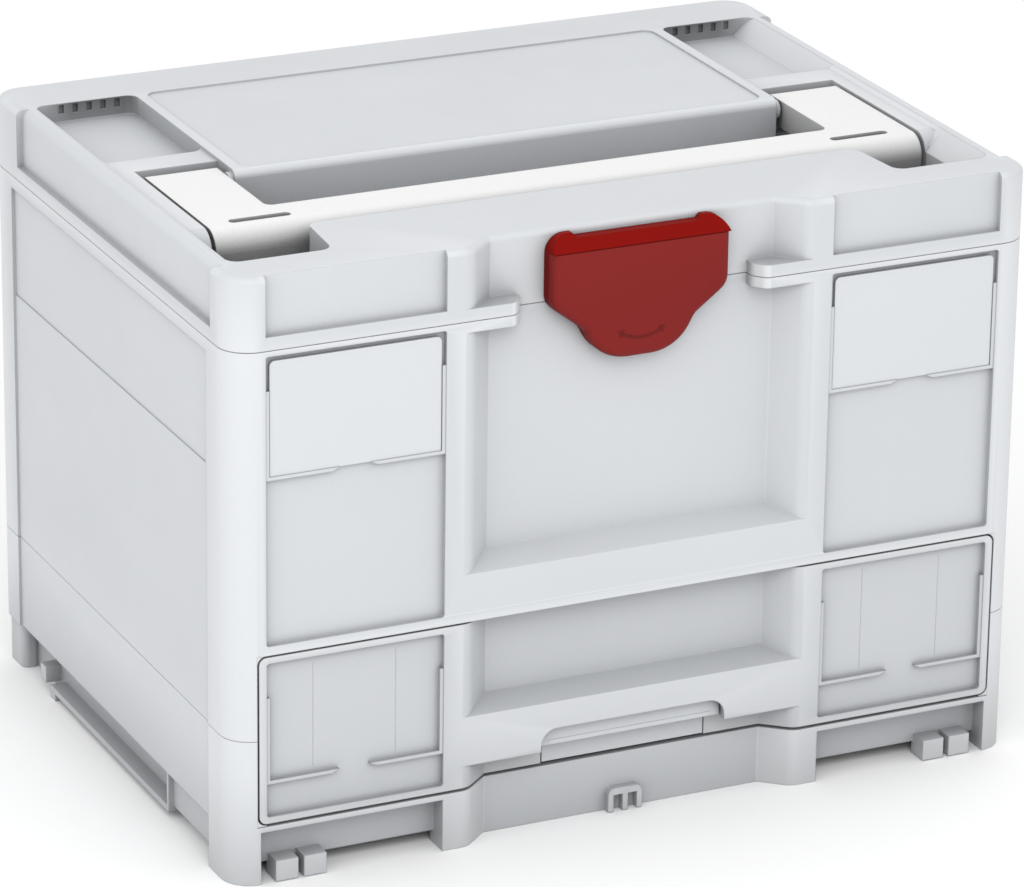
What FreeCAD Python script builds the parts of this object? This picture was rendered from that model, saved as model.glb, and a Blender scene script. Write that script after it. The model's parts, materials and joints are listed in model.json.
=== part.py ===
import FreeCAD, Part
import math
import os
import re

import Sketcher

# Tool case with drawer: a hinged lid with a folding handle and a turning latch,
# over a deep compartment and one drawer.
# Millimetres. Origin at the middle of the underside, X to the right, Y to the back, Z up.

SIZES = {
    # overall
    "case_width": 396.0,
    "case_depth": 296.0,
    "case_height": 287.0,
    "corner_round": 14.5,
    "wall": 3.0,
    # the lid closes on the housing at the seam, the housing sits on the base at the joint
    "lid_height": 34.0,
    "seam_gap": 0.3,
    "joint_height": 70.0,
    "joint_gap": 0.2,
    # corner posts and the panels between them
    "post_width": 17.0,
    "base_post_width": 14.0,
    "post_depth": 27.6,
    "panel_recess": 1.1,
    "panel_step": 0.5,
    "panel_step_drop": 59.5,
    "panel_top_margin": 6.0,
    # front: two side bays, two pilasters, one centre bay with curved flanks
    "pilaster_outer": 95.3,
    "flank_front": 83.0,
    "flank_back": 70.0,
    "flank_round": 9.0,
    "flank_foot_round": 1.5,
    "centre_recess": 11.0,
    "bay_recess": 2.8,
    "bay_low_margin": 4.2,
    "bay_top_margin": 2.5,
    "bay_round": 1.2,
    "sill_height": 22.9,
    "sill_rise": 7.0,
    # finger lips beside the latch, half on the lid and half on the housing
    "lip_inner": 57.0,
    "lip_round": 5.0,
    "lip_drop": 5.0,
    "lip_rise": 6.0,
    # label plates held by ribs in the upper side bays
    "label_height": 53.6,
    "label_top_gap": 2.4,
    "label_thick": 2.0,
    "label_round": 2.5,
    "rib_width": 1.7,
    "rib_proud": 2.4,
    "rib_rise": 40.0,
    "rib_outer_length": 35.0,
    "rib_inner_length": 35.7,
    "rib_gap": 0.3,
    # inside of the housing
    "floor_thick": 3.4,
    "inner_round": 8.0,
    # drawer opening and the space behind it
    "opening_inset": 12.5,
    "opening_height": 82.0,
    "opening_low": 28.6,
    "drawer_side_wall": 6.0,
    "drawer_rear_wall": 9.0,
    "post_inner_depth": 20.0,
    "boss_size": 13.0,
    # base skirt, feet and stacking features
    "base_floor_drop": 0.6,
    "base_floor": 4.0,
    "skirt_inset": 10.0,
    "skirt_bottom": 6.5,
    "front_edge_height": 3.1,
    "lug_low": 0.4,
    "lug_high": 10.4,
    "lug_width": 10.8,
    "lug_inset": 45.7,
    "lug_pitch": 13.7,
    "rail_low": 3.5,
    "rail_thick": 3.0,
    "rail_reach": 8.0,
    "rail_front_inset": 81.0,
    "rail_back_inset": 63.0,
    "rail_rib": 2.0,
    "rail_foot": 6.0,
    "plate_reach": 5.5,
    "plate_front_inset": 35.0,
    "block_gap": 6.0,
    "block_length": 7.0,
    "block_low": 5.0,
    "block_high": 13.0,
    "foot_length": 19.0,
    "foot_back_inset": 7.0,
    "foot_round": 4.0,
    "key_half": 8.6,
    "key_high": 12.0,
    "key_proud": 4.2,
    "key_rib": 2.6,
    "key_round": 3.5,
    "key_window_top": 8.6,
    # rear hinge
    "hinge_inset": 4.4,
    "hinge_drop": 5.6,
    "hinge_radius": 3.75,
    "hinge_pin_radius": 2.2,
    "hinge_side_inset": 78.0,
    "hinge_lid_width": 26.0,
    "hinge_case_width": 12.0,
    "hinge_gap": 0.4,
    "rebate_depth": 8.5,
    "rebate_drop": 12.0,
    "pin_head_radius": 3.4,
    "pin_head_thick": 1.4,
    "running_gap": 0.05,
    # lid
    "lid_edge_round": 3.0,
    "lid_bay_margin": 6.5,
    "lid_side_recess": 3.0,
    "lid_side_round": 4.0,
    "lid_front_post": 22.0,
    "lid_rear_post": 36.0,
    "lid_rear_recess": 2.7,
    "lid_rear_half": 82.0,
    "well_depth": 24.5,
    "well_wall": 2.5,
    "panel_gap": 3.3,
    "panel_front_gap": 13.4,
    "panel_back_inset": 33.3,
    "panel_round": 4.0,
    "field_depth": 0.8,
    "field_margin": 5.4,
    "bridge_gap": 7.7,
    "bridge_width": 16.6,
    "shelf_drop": 1.5,
    "pocket_rim": 10.0,
    "pocket_depth": 9.0,
    "pocket_round": 5.0,
    "notch_count": 5,
    "notch_pitch": 7.0,
    "notch_shift": 2.5,
    "notch_width": 2.6,
    "notch_depth": 2.0,
    "corner_hole_width": 48.5,
    "corner_hole_rim": 10.0,
    "corner_hole_inset": 23.7,
    "corner_hole_round": 6.0,
    # folding handle
    "handle_inset": 21.5,
    "handle_gap": 2.0,
    "arm_width": 35.2,
    "arm_length": 85.5,
    "arm_front_inset": 66.4,
    "grip_width": 27.6,
    "grip_gap": 6.6,
    "handle_sink": 2.0,
    "grip_thick": 15.5,
    "arm_thick": 13.5,
    "arm_front_round": 10.0,
    "handle_corner_round": 4.0,
    "handle_slot_length": 29.5,
    "handle_slot_width": 4.7,
    "handle_slot_inset": 13.8,
    "handle_slot_margin": 11.5,
    "handle_axis_inset": 8.4,
    "handle_axis_drop": 6.5,
    "handle_pin_radius": 3.0,
    "handle_boss_radius": 4.6,
    # turning latch
    "latch_half": 43.8,
    "latch_top_drop": 1.9,
    "latch_axis_rise": 9.0,
    "latch_shoulder_drop": 9.3,
    "latch_neck_drop": 21.5,
    "latch_neck_half": 27.5,
    "latch_foot_drop": 37.5,
    "latch_foot_half": 19.0,
    "latch_horn_half": 30.0,
    "latch_horn_drop": 2.0,
    "latch_crown_drop": 6.9,
    "latch_gap": 0.5,
    "latch_thick": 10.0,
    "latch_cover_thick": 4.6,
    "latch_cover_gap": 0.3,
    "latch_edge_round": 4.0,
    "latch_top_round": 9.0,
    "latch_shoulder_round": 9.0,
    "latch_neck_round": 8.0,
    "latch_foot_round": 22.0,
    "latch_bevel_back": 3.0,
    "spindle_radius": 5.0,
    "spindle_length": 13.0,
    "groove_depth": 1.0,
    "clip_thick": 1.2,
    "clip_radius": 8.0,
    "washer_thick": 0.8,
    "washer_radius": 8.5,
    # drawer
    "drawer_gap": 0.9,
    "drawer_front_round": 3.5,
    "drawer_front_thick": 15.3,
    "drawer_skin": 2.7,
    "drawer_rim": 3.0,
    "drawer_rib_height": 20.5,
    "drawer_sill_height": 34.7,
    "drawer_sill_rise": 5.8,
    "drawer_lip_height": 10.7,
    "drawer_side_inset": 9.5,
    "drawer_wall": 2.2,
    "drawer_rear_gap": 4.5,
    "drawer_floor_gap": 2.4,
    "drawer_top_gap": 6.6,
    "drawer_round": 5.0,
    "flange_gap": 1.5,
    "flange_thick": 2.6,
    "flange_end_gap": 1.0,
    "runner_gap": 0.3,
    "runner_side_gap": 2.5,
    "runner_thick": 3.2,
    "runner_leg": 16.0,
    "runner_front_gap": 8.0,
    # release lever behind the drawer's finger notch
    "notch_half": 46.5,
    "notch_height": 10.8,
    "notch_round": 8.0,
    "lip_skin": 2.6,
    "lever_gap": 0.6,
    "lever_face_gap": 1.6,
    "lever_plate_half": 41.0,
    "lever_skin": 2.2,
    "lever_axis_depth": 9.8,
    "lever_axis_rise": 5.0,
    "lever_barrel": 2.8,
    "lever_pin_radius": 1.5,
    "lever_pin_seat": 4.0,
    # screws
    "housing_screw_radius": 2.0,
    "housing_screw_length": 26.0,
    "housing_screw_head": 3.6,
    "housing_screw_head_thick": 2.6,
    "housing_screw_grip": 18.0,
    "housing_screw_inset": 6.3,
    "front_screw_radius": 1.75,
    "front_screw_length": 11.0,
    "front_screw_head": 3.4,
    "front_screw_head_thick": 2.2,
    "front_screw_rise": 15.0,
    "front_screw_drop": 10.0,
    "screw_gap": 0.05,
}

# places that follow from the sizes
PLACES = {
    "seam_height": "case_height-lid_height",
    "panel_step_height": "seam_height-panel_step_drop",
    "panel_low": "base_floor_top-base_floor",
    "panel_high": "seam_height-panel_top_margin",
    "rear_panel_high": "panel_high-rebate_drop",
    "bay_low": "opening_top+bay_low_margin",
    "bay_high": "seam_height-bay_top_margin",
    "sill_front": "opening_top+sill_height",
    "sill_back": "sill_front+sill_rise",
    "label_low": "label_high-label_height",
    "label_high": "bay_high-label_top_gap",
    "rib_outer_end": "case_width/2-post_width-rib_outer_length",
    "rib_inner_end": "pilaster_outer+rib_inner_length",
    "floor_top": "opening_top+floor_thick",
    "opening_half": "case_width/2-opening_inset",
    "opening_top": "opening_low+opening_height",
    "drawer_space_half": "case_width/2-drawer_side_wall",
    "drawer_space_back": "case_depth/2-drawer_rear_wall",
    "base_floor_top": "opening_low-base_floor_drop",
    "lug_first": "case_width/2-lug_inset",
    "rail_front": "rail_front_inset-case_depth/2",
    "rail_back": "case_depth/2-rail_back_inset",
    "plate_front": "plate_front_inset-case_depth/2",
    "block_front": "rail_back+block_gap",
    "foot_front": "foot_back-foot_length",
    "foot_back": "case_depth/2-foot_back_inset",
    "hinge_middle": "case_width/2-hinge_side_inset",
    "lid_bay_low": "seam_height+lid_bay_margin",
    "lid_side_front": "case_depth/2-lid_front_post",
    "lid_side_back": "case_depth/2-lid_rear_post",
    "panel_half": "handle_half-arm_width-panel_gap",
    "panel_front": "arm_back-panel_front_gap",
    "panel_back": "case_depth/2-panel_back_inset",
    "bridge_front": "arm_back+bridge_gap",
    "bridge_back": "bridge_front+bridge_width",
    "pocket_inner": "panel_half",
    "pocket_outer": "case_width/2-pocket_rim",
    "corner_hole_inner": "corner_hole_outer-corner_hole_width",
    "corner_hole_outer": "case_width/2-corner_hole_rim",
    "corner_hole_front": "corner_hole_inset-case_depth/2",
    "handle_half": "case_width/2-handle_inset",
    "arm_back": "arm_front+arm_length",
    "arm_front": "arm_front_inset-case_depth/2",
    "grip_back": "arm_front+grip_width",
    "handle_slot_y": "arm_front+handle_slot_inset",
    "handle_slot_outer": "handle_half-handle_slot_margin",
    "handle_axis_y": "arm_back-handle_axis_inset",
    "latch_top": "case_height-latch_top_drop",
    "latch_axis": "seam_height+latch_axis_rise",
    "latch_shoulder": "latch_axis-latch_shoulder_drop",
    "latch_neck": "latch_axis-latch_neck_drop",
    "latch_foot": "latch_axis-latch_foot_drop",
    "latch_crown": "latch_top-latch_crown_drop",
    "drawer_rib_low": "opening_low+drawer_gap+drawer_rib_height",
    "drawer_sill_front": "opening_low+drawer_gap+drawer_sill_height",
    "drawer_sill_back": "drawer_sill_front+drawer_sill_rise",
    "drawer_lip_low": "opening_low+drawer_gap+drawer_lip_height",
    "drawer_half": "opening_half-drawer_side_inset",
    "drawer_back": "drawer_space_back-drawer_rear_gap",
    "drawer_low": "opening_low+drawer_floor_gap",
    "drawer_high": "opening_top-drawer_top_gap",
    "flange_half": "opening_half-flange_gap",
    "runner_inner": "drawer_half+runner_side_gap",
    "runner_front": "post_inner_depth+runner_front_gap-case_depth/2",
    "notch_top": "drawer_lip_low+notch_height",
    "lever_axis_y": "lever_axis_depth-case_depth/2",
    "lever_axis_z": "notch_top+lever_axis_rise",
    "housing_screw_low": "joint_height-housing_screw_grip",
    "front_screw_low": "drawer_low+front_screw_rise",
    "front_screw_high": "drawer_high-front_screw_drop",
}

doc = FreeCAD.newDocument("tool_case")
sheet = doc.addObject("Spreadsheet::Sheet", "Sizes")
for row, (size_name, millimetres) in enumerate(SIZES.items(), start=1):
    sheet.set(f"A{row}", size_name.replace("_", " "))
    sheet.set(f"B{row}", str(millimetres))
    sheet.setAlias(f"B{row}", size_name)
doc.recompute()

WORD = re.compile(r"[A-Za-z_]+")
SIDES = {"left": "-1", "right": "1"}
PAST = "5"  # how far a cut runs past the skin that it opens
SAME = 0.01  # two places closer than this are the same place

# places that many pieces share, as expressions of the sizes
HALF = "(case_width/2)"
BACK = "(case_depth/2)"
FRONT = "(-case_depth/2)"
BAY = f"({FRONT}+bay_recess)"
RECESS = f"({FRONT}+centre_recess)"
POST = f"({HALF}-post_width)"
BASE_POST = f"({HALF}-base_post_width)"
POST_Y = f"({BACK}-post_depth)"
LID_LOW = "(seam_height+seam_gap)"
DECK = "(case_height-wall)"
HINGE_Y = f"({BACK}-hinge_inset)"
HINGE_Z = "(seam_height-hinge_drop)"
REBATE_Y = f"({BACK}-rebate_depth)"
SKIRT_X = f"({HALF}-skirt_inset)"
SKIRT_Y = f"({FRONT}+skirt_inset)"
WELL_FLOOR = "(case_height-well_depth)"
HANDLE_TOP = "(case_height-handle_sink)"
HANDLE_AXIS_Z = "(case_height-handle_axis_drop)"
LATCH_BACK = f"({RECESS}-latch_gap)"
LATCH_FRONT = f"({LATCH_BACK}-latch_thick)"
COVER_BACK = f"({LATCH_FRONT}+latch_cover_thick)"
PANEL_X = "(opening_half-drawer_gap)"
PANEL_LOW = "(opening_low+drawer_gap)"
PANEL_HIGH = "(opening_top-drawer_gap)"
PANEL_BACK = f"({FRONT}+drawer_front_thick)"
HINGE_REACH = "(hinge_lid_width/2+hinge_gap+hinge_case_width)"
HINGE_START = f"(hinge_middle-{HINGE_REACH})"
HINGE_END = f"(hinge_middle+{HINGE_REACH})"
HANDLE_PIN_START = "(panel_half-well_wall)"
SHELF_IN = "(handle_half+handle_gap)"
SHELF_TOP = "(case_height-shelf_drop)"
HANDLE_PIN_END = "(handle_half+handle_gap+well_wall)"
OUT_X = f"({HALF}+{PAST})"
OUT_FRONT = f"({FRONT}-{PAST})"
OUT_BACK = f"({BACK}+{PAST})"
UNDER = f"(-{PAST})"


def linked(text):
    """Expression with each place spelled out in sizes, and each size pointing at its cell."""
    def spell(word):
        name = word.group()
        if name in PLACES:
            return f"({linked(PLACES[name])})"
        return f"Sizes.{name}" if name in SIZES else name
    return WORD.sub(spell, text)


def number(text):
    """Value of an expression of sizes."""
    return float(sheet.evalExpression(linked(text)))


def same(value, text):
    """True where a measured place is the place that the sizes give."""
    return abs(value - number(text)) < SAME


def tie(thing, prop, text):
    """Binds a property to an expression of sizes."""
    thing.setExpression(prop, linked(text))


def rect(u_low, u_high, v_low, v_high, radius=None):
    """Corners of an upright rectangle, rounded if a radius is given."""
    spots = [(u_low, v_low), (u_high, v_low), (u_high, v_high), (u_low, v_high)]
    return spots if radius is None else [spot + (radius,) for spot in spots]


def mirrored(side, corners):
    """The same corners on the named side of the middle plane."""
    return [(f"{SIDES[side]}*({corner[0]})",) + tuple(corner[1:]) for corner in corners]


def pair(*outlines):
    """Each outline on the left and on the right."""
    return [mirrored(side, corners) for corners in outlines for side in SIDES]


def both_sides(right_half):
    """One closed outline from its right half, listed from front to back."""
    return right_half + mirrored("left", right_half)[::-1]


def draw(sketch, corners):
    """Closed outline through corners (u, v) or (u, v, radius), each number bound to the sizes."""
    spots = [FreeCAD.Vector(number(corner[0]), number(corner[1]), 0) for corner in corners]
    count = len(spots)
    arrive, leave, arcs = [], [], []
    for i, spot in enumerate(spots):
        radius = number(corners[i][2]) if len(corners[i]) > 2 else 0
        to_last = (spots[i - 1] - spot).normalize()
        to_next = (spots[(i + 1) % count] - spot).normalize()
        half_angle = to_last.getAngle(to_next) / 2
        setback = radius / math.tan(half_angle)
        arrive.append(spot + to_last * setback)
        leave.append(spot + to_next * setback)
        if not radius:
            arcs.append(None)
            continue
        centre = spot + (to_last + to_next).normalize() * (radius / math.sin(half_angle))
        turns_left = to_next.cross(to_last).z > 0
        ends = (arrive[i], leave[i]) if turns_left else (leave[i], arrive[i])
        angles = [math.atan2(end.y - centre.y, end.x - centre.x) for end in ends]
        circle = Part.Circle(centre, FreeCAD.Vector(0, 0, 1), radius)
        arcs.append((Part.ArcOfCircle(circle, *angles), turns_left))
    lines = [sketch.addGeometry(Part.LineSegment(leave[i], arrive[(i + 1) % count])) for i in range(count)]
    first_rule = sketch.ConstraintCount
    rules = []
    driven = []

    def drive(kind, place, text):
        driven.append((first_rule + len(rules), text))
        rules.append(Sketcher.Constraint(kind, *place, number(text)))

    for i, corner in enumerate(corners):
        if arcs[i] is None:
            rules.append(Sketcher.Constraint("Coincident", lines[i - 1], 2, lines[i], 1))
            held = lines[i]
        else:
            arc = sketch.addGeometry(arcs[i][0])
            first, last = (1, 2) if arcs[i][1] else (2, 1)
            rules.append(Sketcher.Constraint("Tangent", lines[i - 1], 2, arc, first))
            rules.append(Sketcher.Constraint("Tangent", arc, last, lines[i], 1))
            drive("Radius", (arc,), corner[2])
            held = sketch.addGeometry(Part.Point(spots[i]), True)
            rules.append(Sketcher.Constraint("PointOnObject", held, 1, lines[i - 1]))
            rules.append(Sketcher.Constraint("PointOnObject", held, 1, lines[i]))
        drive("DistanceX", (-1, 1, held, 1), corner[0])
        drive("DistanceY", (-1, 1, held, 1), corner[1])
    sketch.addConstraint(rules)
    for index, text in driven:
        tie(sketch, f"Constraints[{index}]", text)


def draw_circle(sketch, u, v, radius):
    """Circle with its middle and radius bound to the sizes."""
    middle = FreeCAD.Vector(number(u), number(v), 0)
    circle = sketch.addGeometry(Part.Circle(middle, FreeCAD.Vector(0, 0, 1), number(radius)))
    places = [("DistanceX", -1, 1, circle, 3), ("DistanceY", -1, 1, circle, 3), ("Radius", circle)]
    for place, text in zip(places, (u, v, radius)):
        index = sketch.addConstraint(Sketcher.Constraint(*place, number(text)))
        tie(sketch, f"Constraints[{index}]", text)


def new_body(label):
    body = doc.addObject("PartDesign::Body", label)
    body.Label = label
    return body


def origin_part(body, role):
    return next(part for part in body.Origin.OriginFeatures if part.Role == role)


def new_sketch(body, plane, start):
    """Sketch square to an axis of the body, at a place on that axis."""
    sketch = body.newObject("Sketcher::SketchObject", f"{body.Label}_sketch")
    sketch.AttachmentSupport = [(origin_part(body, f"{plane}_Plane"), "")]
    sketch.MapMode = "FlatFace"
    tie(sketch, "AttachmentOffset.Base.z", start)
    return sketch


def prism(body, kind, plane, low, high, fill):
    """Pads or pockets what fill draws, from low to high along the axis square to the plane."""
    # the XZ plane faces the front, so its prisms run from high to low
    sketch = new_sketch(body, plane, f"-({high})" if plane == "XZ" else low)
    fill(sketch)
    feature = body.newObject(f"PartDesign::{kind}", f"{body.Label}_{kind.lower()}")
    feature.Profile = sketch
    feature.Reversed = kind == "Pocket"
    feature.Refine = False
    tie(feature, "Length", f"({high})-({low})")
    return feature


def pad(body, plane, low, high, *outlines):
    return prism(body, "Pad", plane, low, high, lambda sketch: [draw(sketch, shape) for shape in outlines])


def pocket(body, plane, low, high, *outlines):
    return prism(body, "Pocket", plane, low, high, lambda sketch: [draw(sketch, shape) for shape in outlines])


def bore(body, plane, low, high, radius, *spots):
    return prism(body, "Pocket", plane, low, high,
                 lambda sketch: [draw_circle(sketch, *spot, radius) for spot in spots])


def round_edges(body, radius, wanted):
    """Rounds every edge of the body whose box passes the test."""
    doc.recompute()
    base = body.Tip
    names = [f"Edge{i}" for i, edge in enumerate(base.Shape.Edges, start=1) if wanted(edge.BoundBox)]
    fillet = body.newObject("PartDesign::Fillet", f"{body.Label}_round")
    fillet.Base = (base, names)
    fillet.Refine = False
    tie(fillet, "Radius", radius)
    return fillet


def round_over(body, low, high, y, z, radius, toward):
    """Rounds a top edge that runs along X, at y and z, where toward is the sign of the Y that it faces."""
    inside = f"({y}-{toward}*({radius}+{PAST}))"
    outside = f"({y}+{toward}*{PAST})"
    below = f"({z}-({radius}+{PAST}))"
    above = f"({z}+{PAST})"
    waste = [(y, below), (y, z, radius), (inside, z), (inside, above), (outside, above), (outside, below)]
    return pocket(body, "YZ", low, high, waste)


def finished(body):
    """Merges the faces of a body that lie in one surface."""
    body.Tip.Refine = True
    return body


def turned(label, plane, axis, corners, place):
    """Piece turned about an axis of its own origin, then set in its place."""
    body = new_body(label)
    sketch = new_sketch(body, plane, "0")
    draw(sketch, corners)
    feature = body.newObject("PartDesign::Revolution", f"{label}_turn")
    feature.Profile = sketch
    feature.ReferenceAxis = (origin_part(body, f"{axis}_Axis"), [""])
    for letter, text in zip("xyz", place):
        tie(body, f"Placement.Base.{letter}", text)
    return body


def outer_outline():
    """Plan of the case: rounded corners, and a centre bay with curved flanks in the front."""
    return both_sides([
        ("flank_back", RECESS, "flank_foot_round"),
        ("flank_front", FRONT, "flank_round"),
        (HALF, FRONT, "corner_round"),
        (HALF, BACK, "corner_round"),
    ])


def inner_outline(back):
    """Plan of the inside: a wall behind every part of the front, up to the given back."""
    front = f"({BAY}+wall)"
    side = f"({HALF}-lid_side_recess-wall)"
    return both_sides([
        ("flank_front", f"({RECESS}+wall)"),
        ("flank_front+centre_recess", front),
        (side, front, "inner_round"),
        (side, back, "inner_round"),
    ])


def drawer_space():
    """Plan of the drawer's space: open at the front, with a boss in each rear corner."""
    post_back = f"({FRONT}+post_inner_depth)"
    boss_x = "(drawer_space_half-boss_size)"
    boss_y = "(drawer_space_back-boss_size)"
    return both_sides([
        ("opening_half", f"({FRONT}-{PAST})"),
        ("opening_half", post_back),
        ("drawer_space_half", post_back),
        ("drawer_space_half", boss_y),
        (boss_x, boss_y),
        (boss_x, "drawer_space_back"),
    ])


def side_panels(body, low, high, depth):
    """Sinks the two side panels between the corner posts."""
    pocket(body, "XY", low, high, *pair(rect(f"({HALF}-({depth}))", OUT_X, f"-{POST_Y}", POST_Y)))


def rear_panel(body, low, high):
    pocket(body, "XY", low, high, rect(f"-{POST}", POST, f"({BACK}-panel_recess)", OUT_BACK))


def finger_lips():
    """Plans of the lips that reach from the pilasters into the centre bay."""
    root = f"({RECESS}+wall/2)"
    return pair([
        ("pilaster_outer", FRONT),
        ("pilaster_outer", root),
        ("lip_inner", root),
        ("lip_inner", f"({RECESS}-lip_round)", "lip_round"),
        ("lip_inner+lip_round", FRONT, "lip_round"),
    ])


def label_ribs(body, low):
    """Angled ribs with tapered ends that hold a plate on the floor of each side bay."""
    high = f"({low}+rib_rise)"
    ledge = f"({low}-rib_width)"
    outer = f"({POST}+rib_gap)"
    inner = "(pilaster_outer-rib_gap)"
    outer_rib = [
        ("rib_outer_end", low), ("rib_outer_end+rib_width*2", ledge), (outer, ledge),
        (outer, high), (f"({POST}-rib_width)", high), (f"({POST}-rib_width)", low),
    ]
    inner_rib = [
        ("rib_inner_end", low), ("rib_inner_end-rib_width*2", ledge), (inner, ledge),
        (inner, high), ("pilaster_outer+rib_width", high), ("pilaster_outer+rib_width", low),
    ]
    pad(body, "XZ", f"({BAY}-rib_proud)", f"({BAY}+wall/4)", *pair(outer_rib, inner_rib))


def hinge_bore(body):
    bore(body, "YZ", f"-{HINGE_END}", HINGE_END, "hinge_pin_radius+running_gap", (HINGE_Y, HINGE_Z))


def screw_spots():
    """Plan places of the four housing screws."""
    x = f"({HALF}-housing_screw_inset)"
    depths = (f"({FRONT}+corner_round)", "(drawer_space_back-boss_size/2)")
    return [(f"{sign}*{x}", depth) for sign in SIDES.values() for depth in depths]


def make_base():
    """Lower housing: floor, drawer sides, skirt, feet, side rails and stacking lugs."""
    body = new_body("base_frame")
    pad(body, "XY", "0", "joint_height", outer_outline())
    pocket(body, "XY", "base_floor_top", f"(joint_height+{PAST})", drawer_space())
    corner_in = f"({POST}-wall)"
    side_in = f"({SKIRT_X}-wall)"
    foot_in = "(foot_front-wall)"
    hollow = both_sides([
        (corner_in, f"({RECESS}+wall)"),
        (corner_in, f"-{POST_Y}"),
        (side_in, f"-{POST_Y}"),
        (side_in, foot_in),
        (corner_in, foot_in),
        (corner_in, f"({BACK}-skirt_inset-wall)"),
    ])
    pocket(body, "XY", UNDER, "base_floor_top-base_floor", hollow)
    bay = rect("pilaster_outer", BASE_POST, OUT_FRONT, SKIRT_Y)
    pocket(body, "XY", UNDER, "opening_low-front_edge_height", *pair(bay))
    below_bay = rect("pilaster_outer", BASE_POST, OUT_FRONT, f"({RECESS}+wall+{PAST})")
    pocket(body, "XY", UNDER, "skirt_bottom", *pair(below_bay))
    below_panels = both_sides([
        (SKIRT_X, f"({BACK}-skirt_inset)"),
        (SKIRT_X, f"-{POST_Y}"),
        (OUT_X, f"-{POST_Y}"),
        (OUT_X, OUT_BACK),
    ])
    pocket(body, "XY", UNDER, "panel_low", below_panels)
    side_panels(body, "panel_low", f"(joint_height+{PAST})", "panel_recess")
    rear_panel(body, "panel_low", f"(joint_height+{PAST})")
    make_base_sides(body)
    make_base_front(body)
    bore(body, "XY", UNDER, "housing_screw_low", "housing_screw_head+screw_gap", *screw_spots())
    bore(body, "XY", UNDER, f"(joint_height+{PAST})", "housing_screw_radius+screw_gap", *screw_spots())
    return finished(body)


def make_base_sides(body):
    """Rail, rib, plate, block and rear foot below each side panel."""
    root = f"({SKIRT_X}-wall/2)"
    rail_x = f"({SKIRT_X}+rail_reach)"
    plate_x = f"({SKIRT_X}+plate_reach)"
    rail_top = "(rail_low+rail_thick)"
    stub_back = f"(-{POST_Y}+rail_foot)"
    blocks = [
        (rect(root, rail_x, "rail_front", "rail_back"), "rail_low", rail_top),
        (rect(root, rail_x, "rail_front", "rail_front+rail_rib"), "rail_low", "panel_low"),
        (rect(root, rail_x, "rail_back-rail_foot", "rail_back"), "0", rail_top),
        (rect(root, plate_x, "plate_front", "rail_front"), "skirt_bottom", "panel_low"),
        (rect(root, plate_x, f"(-{POST_Y}-wall)", stub_back), "0", "skirt_bottom"),
        (rect(root, rail_x, "block_front", "block_front+block_length"), "block_low", "block_high"),
        (rect(root, rail_x, "foot_front", "foot_back", "foot_round"), "0", "panel_low"),
    ]
    for corners, low, high in blocks:
        pad(body, "XY", low, high, *pair(corners))


def make_base_front(body):
    """Stacking lugs on the skirt of each side bay, and the ribbed key in the centre bay."""
    lugs = []
    for step in range(2):
        start = f"(lug_first+{step}*lug_pitch)"
        lugs.append(rect(start, f"({start}+lug_width)", FRONT, f"({SKIRT_Y}+wall/2)"))
    pad(body, "XY", "lug_low", "lug_high", *pair(*lugs))
    key_front = f"({RECESS}-key_proud)"
    frame = both_sides([("key_half", "lug_low"), ("key_half", "key_high", "key_round")])
    pad(body, "XZ", key_front, f"({RECESS}+wall/2)", frame)
    window = rect("key_rib/2", "key_half-key_rib", UNDER, "key_window_top")
    pocket(body, "XZ", f"({key_front}-{PAST})", RECESS, *pair(window))


def make_housing():
    """Upper housing: compartment over the drawer's space, front bays, lips and hinge knuckles."""
    body = new_body("case_body")
    low = "(joint_height+joint_gap)"
    under = f"({low}-{PAST})"
    pad(body, "XY", low, "seam_height", outer_outline())
    pocket(body, "XY", "floor_top", f"(seam_height+{PAST})", inner_outline(f"({REBATE_Y}-wall)"))
    pocket(body, "XY", under, "opening_top", drawer_space())
    rebate = rect(f"-{OUT_X}", OUT_X, REBATE_Y, OUT_BACK)
    pocket(body, "XY", "seam_height-rebate_drop", f"(seam_height+{PAST})", rebate)
    sill = [(FRONT, "opening_top"), (f"({RECESS}+wall/2)", "opening_top"), (f"({RECESS}+wall/2)", "sill_back"),
            (RECESS, "sill_back"), (FRONT, "sill_front")]
    pad(body, "YZ", "-pilaster_outer", "pilaster_outer", sill)
    side_panels(body, under, "panel_high", "panel_recess")
    side_panels(body, "panel_step_height", "panel_high", "panel_recess+panel_step")
    rear_panel(body, under, "rear_panel_high")
    bay = rect("pilaster_outer", POST, "bay_low", "bay_high", "bay_round")
    pocket(body, "XZ", OUT_FRONT, BAY, *pair(bay))
    label_ribs(body, "label_low")
    pad(body, "XY", "seam_height-lip_drop", "seam_height", *finger_lips())
    barrel = [
        (f"({REBATE_Y}-wall/2)", f"({HINGE_Z}-hinge_radius)"),
        (f"({HINGE_Y}+hinge_radius)", f"({HINGE_Z}-hinge_radius)", "hinge_radius-running_gap"),
        (f"({HINGE_Y}+hinge_radius)", f"({HINGE_Z}+hinge_radius)", "hinge_radius-running_gap"),
        (f"({REBATE_Y}-wall/2)", f"({HINGE_Z}+hinge_radius)"),
    ]
    pad(body, "YZ", f"-{HINGE_END}", HINGE_END, barrel)
    middle = rect(f"-{HINGE_START}", HINGE_START, REBATE_Y, OUT_BACK)
    lid_room = rect("hinge_middle-hinge_lid_width/2-hinge_gap", "hinge_middle+hinge_lid_width/2+hinge_gap",
                    REBATE_Y, OUT_BACK)
    pocket(body, "XY", "seam_height-rebate_drop", f"(seam_height+{PAST})", middle, *pair(lid_room))
    hinge_bore(body)
    bore(body, "XY", under, "housing_screw_low+housing_screw_length", "housing_screw_radius+screw_gap",
         *screw_spots())
    return finished(body)


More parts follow.
